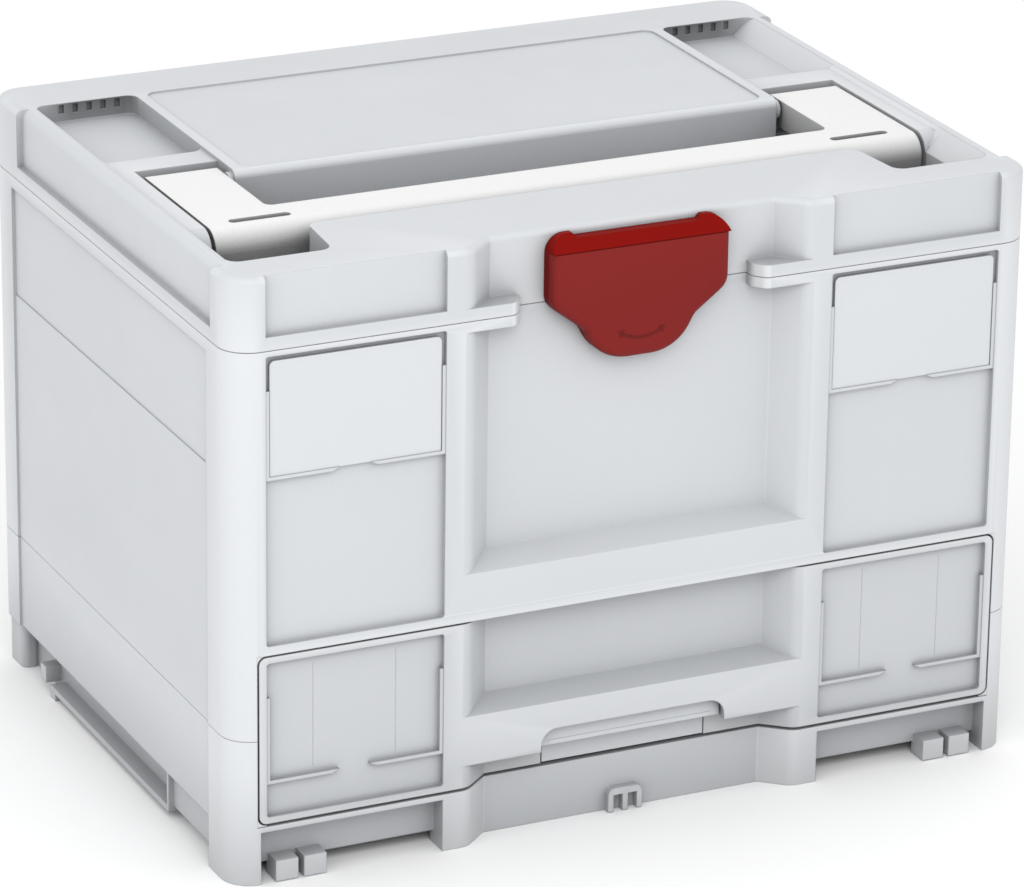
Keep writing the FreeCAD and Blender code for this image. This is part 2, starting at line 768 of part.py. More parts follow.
def handle_well(grow):
    """Plan of the sunk space round the handle, grown by a wall."""
    arm_x = f"(handle_half+handle_gap+{grow})"
    hole_x = f"(corner_hole_outer+{grow})"
    hole_y = f"(corner_hole_front-{grow})"
    shelf_y = f"(arm_front+{grow})"
    bridge_y = f"(bridge_front+{grow})"
    panel_x = f"(panel_half-{grow})"
    return both_sides([
        (f"(corner_hole_inner-corner_hole_round/2-{grow})", f"(arm_front-grip_gap-{grow})", "corner_hole_round"),
        (f"(corner_hole_inner-{grow})", hole_y, "corner_hole_round"),
        (hole_x, hole_y, "corner_hole_round"),
        (hole_x, shelf_y),
        (arm_x, shelf_y),
        (arm_x, bridge_y),
        (panel_x, bridge_y),
        (panel_x, f"(panel_front+{grow})"),
    ])


def make_lid():
    """Lid: sunk well round the handle, rear pockets, centre panel, latch wall and hinge knuckles."""
    body = new_body("lid_shell")
    over = f"(case_height+{PAST})"
    pad(body, "XY", LID_LOW, "case_height", outer_outline())
    round_edges(body, "lid_edge_round", lambda box: same(box.ZMin, "case_height"))
    pocket(body, "XY", f"({LID_LOW}-{PAST})", DECK, inner_outline(f"({BACK}-lid_rear_recess-wall)"))
    pad(body, "XY", f"({WELL_FLOOR}-well_wall)", f"({DECK}+wall/2)", handle_well("well_wall"))
    pocket_floor = "(case_height-pocket_depth)"
    block = rect("pocket_inner-wall", "pocket_outer+wall", "bridge_back-wall", "panel_back+wall", "pocket_round")
    pad(body, "XY", f"({pocket_floor}-wall)", f"({DECK}+wall/2)", *pair(block))
    under_shelf = rect("panel_half-well_wall", "pocket_outer+wall", "arm_front", "bridge_back")
    pad(body, "XY", f"({DECK}-shelf_drop)", f"({DECK}+wall/2)", *pair(under_shelf))
    shelf_end = rect(SHELF_IN, "corner_hole_outer+well_wall", "arm_front", "arm_front+arm_front_round+wall")
    pad(body, "XY", f"({SHELF_TOP}-arm_front_round-wall)", f"({DECK}+wall/2)", *pair(shelf_end))
    pocket(body, "XY", WELL_FLOOR, over, handle_well("0"))
    shelf = rect("panel_half", "pocket_outer", "arm_front", "bridge_back+pocket_round")
    pocket(body, "XY", SHELF_TOP, over, *pair(shelf))
    for low, high in (("-corner_hole_outer", f"-{SHELF_IN}"), (SHELF_IN, "corner_hole_outer")):
        round_over(body, low, high, "arm_front", SHELF_TOP, "arm_front_round", "-1")
    space = rect("pocket_inner", "pocket_outer", "bridge_back", "panel_back", "pocket_round")
    pocket(body, "XY", pocket_floor, over, *pair(space))
    make_pocket_notches(body, pocket_floor)
    bay = rect("pilaster_outer", POST, "lid_bay_low", over)
    pocket(body, "XZ", OUT_FRONT, BAY, *pair(bay))
    flank = rect(f"({HALF}-lid_side_recess)", OUT_X, "-lid_side_front", "lid_side_back")
    rear = rect("-lid_rear_half", "lid_rear_half", f"({BACK}-lid_rear_recess)", OUT_BACK)
    pocket(body, "XY", "lid_bay_low", over, rear, *pair(flank))
    round_lid_sides(body)
    field = rect("-panel_half+field_margin", "panel_half-field_margin",
                 "panel_front+panel_round", "panel_back", "field_margin")
    pocket(body, "XY", "case_height-field_depth", over, field)
    round_over(body, "-panel_half", "panel_half", "panel_front", "case_height", "panel_round", "-1")
    pad(body, "XY", LID_LOW, "seam_height+lip_rise", *finger_lips())
    make_lid_hinge(body)
    bore(body, "XZ", f"({RECESS}-{PAST})", f"({RECESS}+wall+{PAST})", "spindle_radius+running_gap",
         ("0", "latch_axis"))
    make_handle_bearings(body)
    return finished(body)


def round_lid_sides(body):
    """Rounds the top edge of each side between its corner posts."""
    side = f"({HALF}-lid_side_recess)"
    inside = f"({side}-lid_side_round-{PAST})"
    below = f"(case_height-lid_side_round-{PAST})"
    above = f"(case_height+{PAST})"
    waste = [(side, below), (side, "case_height", "lid_side_round"), (inside, "case_height"), (inside, above),
             (OUT_X, above), (OUT_X, below)]
    pocket(body, "XZ", "-lid_side_front", "lid_side_back", *pair(waste))


def make_handle_bearings(body):
    """Bosses beside the centre panel, and the bores that hold the handle's pins."""
    boss = rect("handle_axis_y-handle_boss_radius", "handle_axis_y+handle_boss_radius",
                f"({HANDLE_AXIS_Z}-handle_boss_radius)", f"({HANDLE_AXIS_Z}+handle_boss_radius)",
                "handle_boss_radius-running_gap")
    root = "(panel_half-well_wall/2)"
    end = "(handle_half-arm_width-handle_gap/2)"
    for low, high in ((f"-{end}", f"-{root}"), (root, end)):
        pad(body, "YZ", low, high, boss)
    for low, high in ((f"-{HANDLE_PIN_END}", f"-{HANDLE_PIN_START}"), (HANDLE_PIN_START, HANDLE_PIN_END)):
        bore(body, "YZ", low, high, "handle_pin_radius+running_gap", ("handle_axis_y", HANDLE_AXIS_Z))


def make_pocket_notches(body, floor):
    """Row of small notches in the back wall of each rear pocket."""
    middle = "((pocket_inner+pocket_outer)/2-notch_shift)"
    count = round(number("notch_count"))
    notches = []
    for step in range(count):
        start = f"({middle}+({step}-{(count - 1) / 2})*notch_pitch-notch_width/2)"
        notches.append(rect(start, f"({start}+notch_width)", "panel_back-wall", "panel_back+notch_depth"))
    pocket(body, "XY", f"({floor}+notch_depth*2)", "case_height-notch_depth/2", *pair(*notches))


def make_lid_hinge(body):
    """Two knuckles under the rear edge of the lid."""
    low = f"({HINGE_Z}-hinge_radius)"
    ends = (f"({HINGE_Y}-hinge_radius)", f"({HINGE_Y}+hinge_radius)")
    top = f"({LID_LOW}+wall/2)"
    bend = "hinge_radius-running_gap"
    lug = [(ends[0], low, bend), (ends[1], low, bend), (ends[1], top), (ends[0], top)]
    inner = "(hinge_middle-hinge_lid_width/2)"
    outer = "(hinge_middle+hinge_lid_width/2)"
    pad(body, "YZ", f"-{outer}", outer, lug)
    middle = rect(f"-{inner}", inner, f"({ends[0]}-{PAST})", OUT_BACK)
    pocket(body, "XY", f"({low}-{PAST})", LID_LOW, middle)
    hinge_bore(body)


def make_handle():
    """Folding handle: a grip between two flat arms, with a slot in each arm."""
    body = new_body("carry_handle")
    low = f"({HANDLE_TOP}-grip_thick)"
    arm_in = "(handle_half-arm_width)"
    plan = both_sides([
        ("handle_half", "arm_front"),
        ("handle_half", "arm_back"),
        (arm_in, "arm_back"),
        (arm_in, "grip_back", "handle_corner_round"),
    ])
    pad(body, "XY", low, HANDLE_TOP, plan)
    under_arms = rect("-handle_half", "handle_half", "grip_back+handle_corner_round*2", f"(arm_back+{PAST})")
    pocket(body, "XY", f"({low}-{PAST})", f"({HANDLE_TOP}-arm_thick)", under_arms)
    slot = rect("handle_slot_outer-handle_slot_length", "handle_slot_outer",
                "handle_slot_y-handle_slot_width/2", "handle_slot_y+handle_slot_width/2", "handle_slot_width/2-running_gap")
    pocket(body, "XY", f"({low}-{PAST})", f"({HANDLE_TOP}+{PAST})", *pair(slot))
    round_over(body, f"-{OUT_X}", OUT_X, "arm_front", HANDLE_TOP, "arm_front_round", "-1")
    bore(body, "YZ", f"-{OUT_X}", OUT_X, "handle_pin_radius+running_gap", ("handle_axis_y", HANDLE_AXIS_Z))
    return finished(body)


def latch_lower():
    """Right half of the latch below its crown, from the grip up: round grip, neck and shoulder."""
    return [
        ("latch_foot_half", "latch_foot", "latch_foot_round"),
        ("latch_neck_half", "latch_neck", "latch_neck_round"),
        ("latch_half", "latch_shoulder", "latch_shoulder_round"),
    ]


def make_latch_base():
    """Base of the latch, with two horns and a bevelled top."""
    body = new_body("latch_base")
    horns = [
        ("latch_half", "latch_top", "latch_top_round"),
        ("latch_horn_half+latch_horn_drop", "latch_top"),
        ("latch_horn_half", "latch_top-latch_horn_drop"),
    ]
    pad(body, "XZ", LATCH_FRONT, LATCH_BACK, both_sides(latch_lower() + horns))
    seat = rect(f"-{OUT_X}", OUT_X, "0", "latch_crown-latch_cover_gap")
    pocket(body, "XZ", f"({LATCH_FRONT}-{PAST})", COVER_BACK, seat)
    bevel_y = f"({LATCH_BACK}-latch_bevel_back)"
    above = f"(latch_top+{PAST})"
    out = f"({LATCH_FRONT}-{PAST})"
    bevel = [(LATCH_FRONT, "latch_crown"), (bevel_y, "latch_top"), (bevel_y, above), (out, above),
             (out, "latch_crown")]
    pocket(body, "YZ", f"-{OUT_X}", OUT_X, bevel)
    return finished(body)


def make_latch_cover():
    """Front cover of the latch, with a rounded edge."""
    body = new_body("latch_cover")
    top = "(latch_crown-latch_cover_gap*2)"
    pad(body, "XZ", LATCH_FRONT, COVER_BACK, both_sides(latch_lower() + [("latch_half", top)]))
    round_edges(body, "latch_edge_round",
                lambda box: same(box.YMax, LATCH_FRONT) and not same(box.ZMin, top))
    return finished(body)


def make_spindle():
    """Spindle of the latch with its clip, and the washer between clip and lid."""
    end = "(spindle_length+latch_gap)"
    groove = "(latch_gap+wall+washer_thick+running_gap)"
    groove_end = f"({groove}+clip_thick+running_gap*2)"
    neck = "(spindle_radius-groove_depth)"
    spindle = turned("latch_spindle", "YZ", "Y", [
        ("0", "0"), (end, "0"), (end, "spindle_radius"), (groove_end, "spindle_radius"),
        (groove_end, neck), (groove, neck), (groove, "spindle_radius"), ("0", "spindle_radius"),
    ], ("0", LATCH_BACK, "latch_axis"))
    clip = turned("latch_clip", "YZ", "Y", rect("0", "clip_thick", f"({neck}+running_gap)", "clip_radius"),
                  ("0", f"({LATCH_BACK}+{groove}+running_gap)", "latch_axis"))
    washer = turned("latch_washer", "YZ", "Y",
                    rect("0", "washer_thick", "spindle_radius+running_gap", "washer_radius"),
                    ("0", f"({RECESS}+wall)", "latch_axis"))
    return [spindle, clip, washer]


def make_label_plate(side):
    """Plate that slides down between the ribs of an upper side bay."""
    body = new_body(f"label_plate_{side}")
    outer = f"({POST}-rib_width-rib_gap)"
    inner = "(pilaster_outer+rib_width+rib_gap)"
    corners = [(inner, "label_low"), (outer, "label_low"),
               (outer, "label_high", "label_round"), (inner, "label_high", "label_round")]
    pad(body, "XZ", f"({BAY}-label_thick)", BAY, mirrored(side, corners))
    return body


def front_screw_spots():
    """Front places of the four screws that hold the drawer's front to its tub."""
    middle = "((pilaster_outer+flank_front)/2)"
    heights = ("front_screw_low", "front_screw_high")
    return [(f"{sign}*{middle}", height) for sign in SIDES.values() for height in heights]


def make_drawer_front():
    """Drawer front: side bays with ribs, centre bay with a sloped sill and a finger notch below it."""
    body = new_body("drawer_front")
    behind = f"({PANEL_BACK}+{PAST})"
    plan = both_sides([
        ("flank_back", RECESS, "flank_foot_round"),
        ("flank_front", FRONT, "flank_round"),
        (PANEL_X, FRONT),
        (PANEL_X, PANEL_BACK),
    ])
    pad(body, "XY", PANEL_LOW, PANEL_HIGH, plan)
    round_edges(body, "drawer_front_round", lambda box: box.XLength < SAME and box.ZLength < SAME
                and same(max(box.XMax, -box.XMin), PANEL_X))
    rim_low = f"({PANEL_LOW}+drawer_rim)"
    rim_high = f"({PANEL_HIGH}-drawer_rim)"
    bay = rect("pilaster_outer", POST, rim_low, rim_high, "bay_round")
    pocket(body, "XZ", OUT_FRONT, BAY, *pair(bay))
    label_ribs(body, "drawer_rib_low")
    hollow = rect("pilaster_outer+wall", f"({POST}-rib_gap)", rim_low, rim_high, "bay_round")
    pocket(body, "XZ", f"({BAY}+drawer_skin)", behind, *pair(hollow))
    root = f"({RECESS}+wall/2)"
    sill = [(FRONT, "drawer_lip_low"), (root, "drawer_lip_low"), (root, "drawer_sill_back"),
            (RECESS, "drawer_sill_back"), (FRONT, "drawer_sill_front")]
    pad(body, "YZ", "-pilaster_outer", "pilaster_outer", sill)
    skin_back = f"({FRONT}+lip_skin)"
    lip_under = f"(drawer_lip_low-{PAST})"
    notch = both_sides([("notch_half", lip_under), ("notch_half", "notch_top", "notch_round")])
    pocket(body, "XZ", OUT_FRONT, f"({skin_back}+{PAST})", notch)
    space = rect("-(notch_half+lever_gap)", "notch_half+lever_gap",
                 "drawer_lip_low-lever_gap", "lever_axis_z+lever_barrel+lever_gap")
    pocket(body, "XZ", skin_back, behind, space)
    plate = rect("-(lever_plate_half+lever_gap)", "lever_plate_half+lever_gap",
                 f"({PANEL_LOW}-{PAST})", "drawer_lip_low")
    pocket(body, "XZ", OUT_FRONT, behind, plate)
    bore(body, "YZ", "-(notch_half+lever_pin_seat)", "notch_half+lever_pin_seat",
         "lever_pin_radius+running_gap", ("lever_axis_y", "lever_axis_z"))
    bore(body, "XZ", f"({PANEL_BACK}-front_screw_length)", behind, "front_screw_radius+screw_gap",
         *front_screw_spots())
    return finished(body)


def make_drawer_tub():
    """Drawer tub with a flange along each side that slides on its runner."""
    body = new_body("drawer_tub")
    tub = rect("-drawer_half", "drawer_half", PANEL_BACK, "drawer_back", "drawer_round")
    pad(body, "XY", "drawer_low", "drawer_high", tub)
    flange_back = "(drawer_space_back-boss_size-flange_end_gap)"
    flange = rect("-flange_half", "flange_half", f"({PANEL_BACK}+drawer_round)", flange_back)
    pad(body, "XY", "drawer_high-flange_thick", "drawer_high", flange)
    inside = rect("-(drawer_half-drawer_wall)", "drawer_half-drawer_wall",
                  f"({PANEL_BACK}+drawer_wall)", "drawer_back-drawer_wall", "drawer_round-drawer_wall")
    pocket(body, "XY", "drawer_low+drawer_wall", f"(drawer_high+{PAST})", inside)
    bore(body, "XZ", f"({PANEL_BACK}-{PAST})", f"({PANEL_BACK}+drawer_wall+{PAST})",
         "front_screw_radius+screw_gap", *front_screw_spots())
    return finished(body)


def make_runner(side):
    """Angle runner on a housing wall, under the drawer's flange."""
    body = new_body(f"drawer_runner_{side}")
    top = "(drawer_high-flange_thick-runner_gap)"
    leg_x = "(drawer_space_half-runner_thick)"
    corners = [
        ("runner_inner", f"({top}-runner_thick)"),
        ("runner_inner", top),
        ("drawer_space_half", top),
        ("drawer_space_half", f"({top}-runner_leg)"),
        (leg_x, f"({top}-runner_leg)"),
        (leg_x, f"({top}-runner_thick)"),
    ]
    pad(body, "XZ", "runner_front", "drawer_space_back-boss_size", mirrored(side, corners))
    return body


def make_lever():
    """Release lever: a finger face behind the notch, a plate below it and a barrel on its pin."""
    body = new_body("drawer_lever")
    face = f"({FRONT}+lip_skin+lever_face_gap)"
    bottom = "(drawer_lip_low+lever_gap*2)"
    ledge = f"({bottom}+lever_skin)"
    half = "(notch_half-lever_gap)"
    finger = [
        (face, bottom),
        (f"({face}+lever_skin)", bottom),
        (f"({face}+lever_skin)", "notch_top"),
        ("lever_axis_y", "lever_axis_z-lever_barrel"),
        ("lever_axis_y+lever_barrel", "lever_axis_z-lever_barrel", "lever_barrel-running_gap"),
        ("lever_axis_y+lever_barrel", "lever_axis_z+lever_barrel", "lever_barrel-running_gap"),
        ("lever_axis_y", "lever_axis_z+lever_barrel"),
        (f"({face}+lever_skin/2)", "notch_top+lever_skin"),
    ]
    pad(body, "YZ", f"-{half}", half, finger)
    plate_back = f"({RECESS}+lever_skin)"
    plate_low = f"({PANEL_LOW}+lever_gap)"
    plate = [(face, bottom), (RECESS, bottom), (RECESS, plate_low), (plate_back, plate_low),
             (plate_back, ledge), (face, ledge)]
    pad(body, "YZ", "-lever_plate_half", "lever_plate_half", plate)
    bore(body, "YZ", f"-{OUT_X}", OUT_X, "lever_pin_radius+running_gap", ("lever_axis_y", "lever_axis_z"))
    return finished(body)


def make_hinge_pin(side):
    """Hinge pin with one flat head."""
    length = f"({HINGE_END}-{HINGE_START}+pin_head_thick*2)"
    profile = [("0", "0"), (length, "0"), (length, "hinge_pin_radius"), ("pin_head_thick", "hinge_pin_radius"),
               ("pin_head_thick", "pin_head_radius"), ("0", "pin_head_radius")]
    start = f"({SIDES[side]}*hinge_middle-({HINGE_END}-{HINGE_START})/2-pin_head_thick)"
    return turned(f"hinge_pin_{side}", "XY", "X", profile, (start, HINGE_Y, HINGE_Z))


def make_handle_pin(side):
    """Pin through a handle arm, held in the two walls beside it."""
    start = HANDLE_PIN_START if side == "right" else f"-{HANDLE_PIN_END}"
    profile = rect("0", f"{HANDLE_PIN_END}-{HANDLE_PIN_START}", "0", "handle_pin_radius")
    return turned(f"handle_pin_{side}", "XY", "X", profile, (start, "handle_axis_y", HANDLE_AXIS_Z))


def make_lever_pin():
    seat = "(notch_half+lever_pin_seat)"
    return turned("lever_pin", "XY", "X", rect("0", f"{seat}*2", "0", "lever_pin_radius"),
                  (f"-{seat}", "lever_axis_y", "lever_axis_z"))


def cylinder(name, radius, length, place, tilt):
    """Cylinder from its foot at a place, along Z, or along -Y where the tilt is a right angle."""
    solid = doc.addObject("Part::Cylinder", name)
    tie(solid, "Radius", radius)
    tie(solid, "Height", length)
    solid.Placement.Rotation = FreeCAD.Rotation(FreeCAD.Vector(1, 0, 0), tilt)
    for letter, text in zip("xyz", place):
        tie(solid, f"Placement.Base.{letter}", text)
    return solid


def screw_group(label, screws):
    """One group of separate screws, each a head fused to its shank."""
    group = doc.addObject("Part::Compound", label)
    group.Label = label
    links = []
    for head, shank in screws:
        screw = doc.addObject("Part::Fuse", f"{label}_one")
        screw.Base = head
        screw.Tool = shank
        links.append(screw)
    group.Links = links
    return group


def make_housing_screws():
    """Screws up through the base into the housing."""
    head_low = "(housing_screw_low-housing_screw_head_thick)"
    return screw_group("housing_screws", [
        (cylinder("head", "housing_screw_head", "housing_screw_head_thick", (x, y, head_low), 0),
         cylinder("shank", "housing_screw_radius", "housing_screw_length", (x, y, "housing_screw_low"), 0))
        for x, y in screw_spots()
    ])


def make_front_screws():
    """Screws from inside the tub into the drawer's front."""
    seat = f"({PANEL_BACK}+drawer_wall)"
    head_back = f"({seat}+front_screw_head_thick)"
    return screw_group("drawer_front_screws", [
        (cylinder("head", "front_screw_head", "front_screw_head_thick", (x, head_back, z), 90),
         cylinder("shank", "front_screw_radius", "front_screw_length", (x, seat, z), 90))
        for x, z in front_screw_spots()
    ])


pieces = [make_housing(), make_base(), make_lid(), make_handle(), make_latch_base(), make_latch_cover()]
pieces += make_spindle()
pieces += [make_drawer_front(), make_drawer_tub(), make_lever(), make_lever_pin()]
pieces += [make(side) for make in (make_label_plate, make_runner, make_hinge_pin, make_handle_pin) for side in SIDES]
pieces += [make_housing_screws(), make_front_screws()]
doc.recompute()

for thing in doc.Objects:
    if "Invalid" in thing.State or "Error" in thing.State:
        raise RuntimeError(f"{thing.Label} could not be made")
for piece in pieces:
    if piece.Shape.isNull() or not piece.Shape.isValid() or not piece.Shape.Solids:
        raise RuntimeError(f"{piece.Label} is not a sound solid")

os.makedirs("parts", exist_ok=True)
for piece in pieces:
    piece.Shape.exportStep(f"parts/{piece.Label}.step")
    print(piece.Label, len(piece.Shape.Solids), round(piece.Shape.Volume))
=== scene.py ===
import json
import math

import bmesh
import bpy
from mathutils import Matrix, Vector


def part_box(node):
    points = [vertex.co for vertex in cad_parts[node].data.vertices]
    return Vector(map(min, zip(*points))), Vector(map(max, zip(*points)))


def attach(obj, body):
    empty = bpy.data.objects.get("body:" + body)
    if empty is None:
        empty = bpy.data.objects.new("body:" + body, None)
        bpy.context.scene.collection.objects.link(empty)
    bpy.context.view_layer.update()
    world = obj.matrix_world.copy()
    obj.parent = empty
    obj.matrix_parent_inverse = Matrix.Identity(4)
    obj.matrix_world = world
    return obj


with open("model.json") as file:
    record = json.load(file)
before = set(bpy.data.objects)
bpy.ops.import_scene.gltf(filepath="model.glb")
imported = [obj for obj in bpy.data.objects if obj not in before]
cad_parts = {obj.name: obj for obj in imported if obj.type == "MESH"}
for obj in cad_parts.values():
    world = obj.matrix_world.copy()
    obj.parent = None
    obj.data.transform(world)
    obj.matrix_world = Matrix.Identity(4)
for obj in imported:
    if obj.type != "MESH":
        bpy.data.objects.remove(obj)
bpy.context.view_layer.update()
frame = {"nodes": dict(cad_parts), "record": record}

MM = 0.001

# camera at the photograph's viewpoint
CAMERA_PLACE = Vector((-1.0690, -2.2740, 1.1020))
CAMERA_YAW = math.radians(25.318)
CAMERA_PITCH = math.radians(21.132)
CAMERA_ROLL = math.radians(0.7725)
FOCAL_PIXELS = 5699.3
IMAGE_WIDTH = 1024
SENSOR = 36.0
FAR_CLIP = 50

# floor, surroundings and lights, each light with its place, aim, size and power
FLOOR_HALF = 6.0
FLOOR_COLOUR = (0.84, 0.84, 0.84, 1)
FLOOR_ROUGH = 0.8
SKY_COLOUR = (1, 1, 1, 1)
SKY_STRENGTH = 1.12
LIGHTS = {
    "key": ((-0.45, -1.4, 1.15), (0, 0, 0.15), 1.2, 10),
    "fill": ((-2.0, -0.6, 1.3), (0, 0, 0.12), 1.6, 5.5),
}

# linear colours, and tones as factors of them
GREY = (0.500, 0.515, 0.535, 1)
GREY_EDGE = (0.60, 0.615, 0.63, 1)
GREY_DARK = (0.26, 0.27, 0.28, 1)
WHITE = (0.64, 0.64, 0.64, 1)
WHITE_EDGE = (0.70, 0.70, 0.70, 1)
RED = (0.166, 0.0100, 0.0085, 1)
RED_DARK = (0.172, 0.0038, 0.0022, 1)
STEEL = (0.56, 0.565, 0.575, 1)
STEEL_EDGE = (0.7, 0.7, 0.71, 1)
BLACK = (0, 0, 0, 1)
# painted shade: factor that makes the drawer front a darker copy of the housing plastic
DRAWER_SHADE_TONE = 0.925
PLATE_EDGE_TONE = 1.1
LATCH_EDGE_TONE = 1.15
MARK_TONE = 0.66
MARK_EDGE_TONE = 0.72

# surfaces: noise in features per metre, the spans of each mask, and how strongly it acts
BROAD_NOISE = 9.0
SMEAR_NOISE = 34.0
NOISE_SPAN = (0.3, 0.7)
SPOT_SPAN = (0.5, 0.64)
SPOT_TONE = 0.62
WORN_SPAN = (0.52, 0.6)
WORN_MOST = 0.7
RECESS_REACH = 0.06
RECESS_SPAN = (0.25, 1.0)
SMEAR_GLOSS = 0.05
GRAIN_GLOSS = 0.04
GRAIN_RELIEF = 0.6
RAY_SAMPLES = 8
# painted shade on the lid's pocket back walls, at the floor and at the deck
POCKET_SHADE_SPAN = (0.44, 0.76)

# how far a piece reaches into the solid that carries it
ROOT = 0.0003

# floor of the drawer's side bays
DRAWER_BAY = -0.1452

# rear pockets of the lid, x as the distance from the middle
POCKET_INNER, POCKET_OUTER = 0.1380, 0.1880
POCKET_FRONT, POCKET_BACK = 0.0282, 0.1147
POCKET_FLOOR, DECK_TOP = 0.2780, 0.2870

# shelf beside the handle's arms and hole in front of it
SHELF_TOP, SHELF_FRONT, SHELF_ROUND = 0.2855, -0.0816, 0.0100
HOLE_FRONT, HOLE_INNER, HOLE_FLOOR = -0.1243, 0.1785, 0.2625


def node_of(tree, kind, **values):
    """New node with its inputs set by name."""
    node = tree.nodes.new(kind)
    for name, value in values.items():
        node.inputs[name.replace("_", " ")].default_value = value
    return node


def noise(tree, place, scale, detail=2.0, roughness=0.5):
    """Noise over the object's own coordinates, in features per metre."""
    node = node_of(tree, "ShaderNodeTexNoise", Scale=scale, Detail=detail, Roughness=roughness)
    tree.links.new(place.outputs["Object"], node.inputs["Vector"])
    return node.outputs["Fac"]


def spread(tree, source, span, target):
    """Maps a span of a value onto another span."""
    node = tree.nodes.new("ShaderNodeMapRange")
    for name, value in zip(("From Min", "From Max", "To Min", "To Max"), (*span, *target)):
        node.inputs[name].default_value = value
    tree.links.new(source, node.inputs["Value"])
    return node.outputs["Result"]


def blend_colours(tree, factor, first, second):
    """Mix of two colours, each a constant or another node's output."""
    node = tree.nodes.new("ShaderNodeMix")
    node.data_type = "RGBA"
    tree.links.new(factor, node.inputs["Factor"])
    for socket, colour in ((node.inputs["A"], first), (node.inputs["B"], second)):
        if isinstance(colour, tuple):
            socket.default_value = colour
        else:
            tree.links.new(colour, socket)
    return node.outputs["Result"]


def number_of(tree, operation, *values):
    """Sum or other operation on values, each a constant or another node's output."""
    node = tree.nodes.new("ShaderNodeMath")
    node.operation = operation
    for socket, value in zip(node.inputs, values):
        if isinstance(value, (int, float)):
            socket.default_value = value
        else:
            tree.links.new(value, socket)
    return node.outputs["Value"]


def pocket_shade(tree, place):
    """Painted shade on the back walls of the lid's pockets: deepest under the deck's edge, none elsewhere.
    """
    inner_fade, outer_fade, outer_end = 0.0006, 0.018, 0.001
    corner_fade, corner_end = 0.006, 0.001
    middle_y, half_y = POCKET_BACK - 0.002, 0.0045
    middle_z, half_z = (POCKET_FLOOR + DECK_TOP) / 2, 0.0043
    split = tree.nodes.new("ShaderNodeSeparateXYZ")
    tree.links.new(place.outputs["Object"], split.inputs["Vector"])
    side = number_of(tree, "ABSOLUTE", split.outputs["X"])
    spans = (
        spread(tree, side, (POCKET_INNER - inner_fade, POCKET_INNER), (0, 1)),
        spread(tree, side, (POCKET_OUTER - outer_fade, POCKET_OUTER - outer_end), (1, 0)),
        spread(tree, split.outputs["Y"], (POCKET_BACK - corner_fade, POCKET_BACK - corner_end), (0, 1)),
        number_of(tree, "COMPARE", split.outputs["Y"], middle_y, half_y),
        number_of(tree, "COMPARE", split.outputs["Z"], middle_z, half_z),
    )
    amount = spread(tree, split.outputs["Z"], (POCKET_FLOOR, DECK_TOP), POCKET_SHADE_SPAN)
    for span in spans:
        amount = number_of(tree, "MULTIPLY", amount, span)
    return amount


def shade(colour, factor):
    return tuple(min(1.0, part * factor) for part in colour[:3]) + (1,)


def moulded(name, colour, edge, grain, depth_mm, rough, round_mm,
            speckle=0.0, drift=0.05, metal=0.0, shine=0.5, painted_shade=0.46, pockets=False):
    """Moulded or turned surface: drifting tone, fine grain, uneven gloss, rubbed edges, and painted shade in
    recesses and close to other parts.
    """
    material = bpy.data.materials.new(name)
    material.use_nodes = True
    tree = material.node_tree
    shader = tree.nodes["Principled BSDF"]
    shader.inputs["Metallic"].default_value = metal
    shader.inputs["Specular IOR Level"].default_value = shine
    place = tree.nodes.new("ShaderNodeTexCoord")
    broad = noise(tree, place, BROAD_NOISE, detail=3.0)
    fine = noise(tree, place, grain, roughness=0.6)
    tone = blend_colours(tree, spread(tree, broad, NOISE_SPAN, (0, 1)),
                         shade(colour, 1 - drift), shade(colour, 1 + drift))
    if speckle:
        spots = spread(tree, fine, SPOT_SPAN, (0, speckle))
        tone = blend_colours(tree, spots, tone, shade(colour, SPOT_TONE))
    shape = tree.nodes.new("ShaderNodeNewGeometry")
    worn = spread(tree, shape.outputs["Pointiness"], WORN_SPAN, (0, WORN_MOST))
    tone = blend_colours(tree, worn, tone, edge)
    # painted shade: the base colour darkens where ambient occlusion finds surfaces of this piece or of
    # others nearby
    recess = node_of(tree, "ShaderNodeAmbientOcclusion", Distance=RECESS_REACH)
    recess.samples = RAY_SAMPLES
    open_air = spread(tree, recess.outputs["AO"], RECESS_SPAN, (1 - painted_shade, 1))
    tone = blend_colours(tree, open_air, BLACK, tone)
    # painted shade on the back walls of the lid's pockets, darkest at the top
    if pockets:
        tone = blend_colours(tree, pocket_shade(tree, place), tone, BLACK)
    tree.links.new(tone, shader.inputs["Base Color"])
    smear = noise(tree, place, SMEAR_NOISE, detail=4.0)
    gloss = number_of(tree, "ADD",
                      spread(tree, smear, NOISE_SPAN, (rough - SMEAR_GLOSS, rough + SMEAR_GLOSS)),
                      spread(tree, fine, NOISE_SPAN, (-GRAIN_GLOSS, GRAIN_GLOSS)))
    tree.links.new(gloss, shader.inputs["Roughness"])
    soft = node_of(tree, "ShaderNodeBevel", Radius=round_mm * MM)
    soft.samples = RAY_SAMPLES
    relief = node_of(tree, "ShaderNodeBump", Strength=GRAIN_RELIEF, Distance=depth_mm * MM)
    tree.links.new(soft.outputs["Normal"], relief.inputs["Normal"])
    tree.links.new(fine, relief.inputs["Height"])
    tree.links.new(relief.outputs["Normal"], shader.inputs["Normal"])
    return material


SHELL_FINISH = {"grain": 1500.0, "depth_mm": 0.06, "rough": 0.46, "round_mm": 0.9, "drift": 0.015}

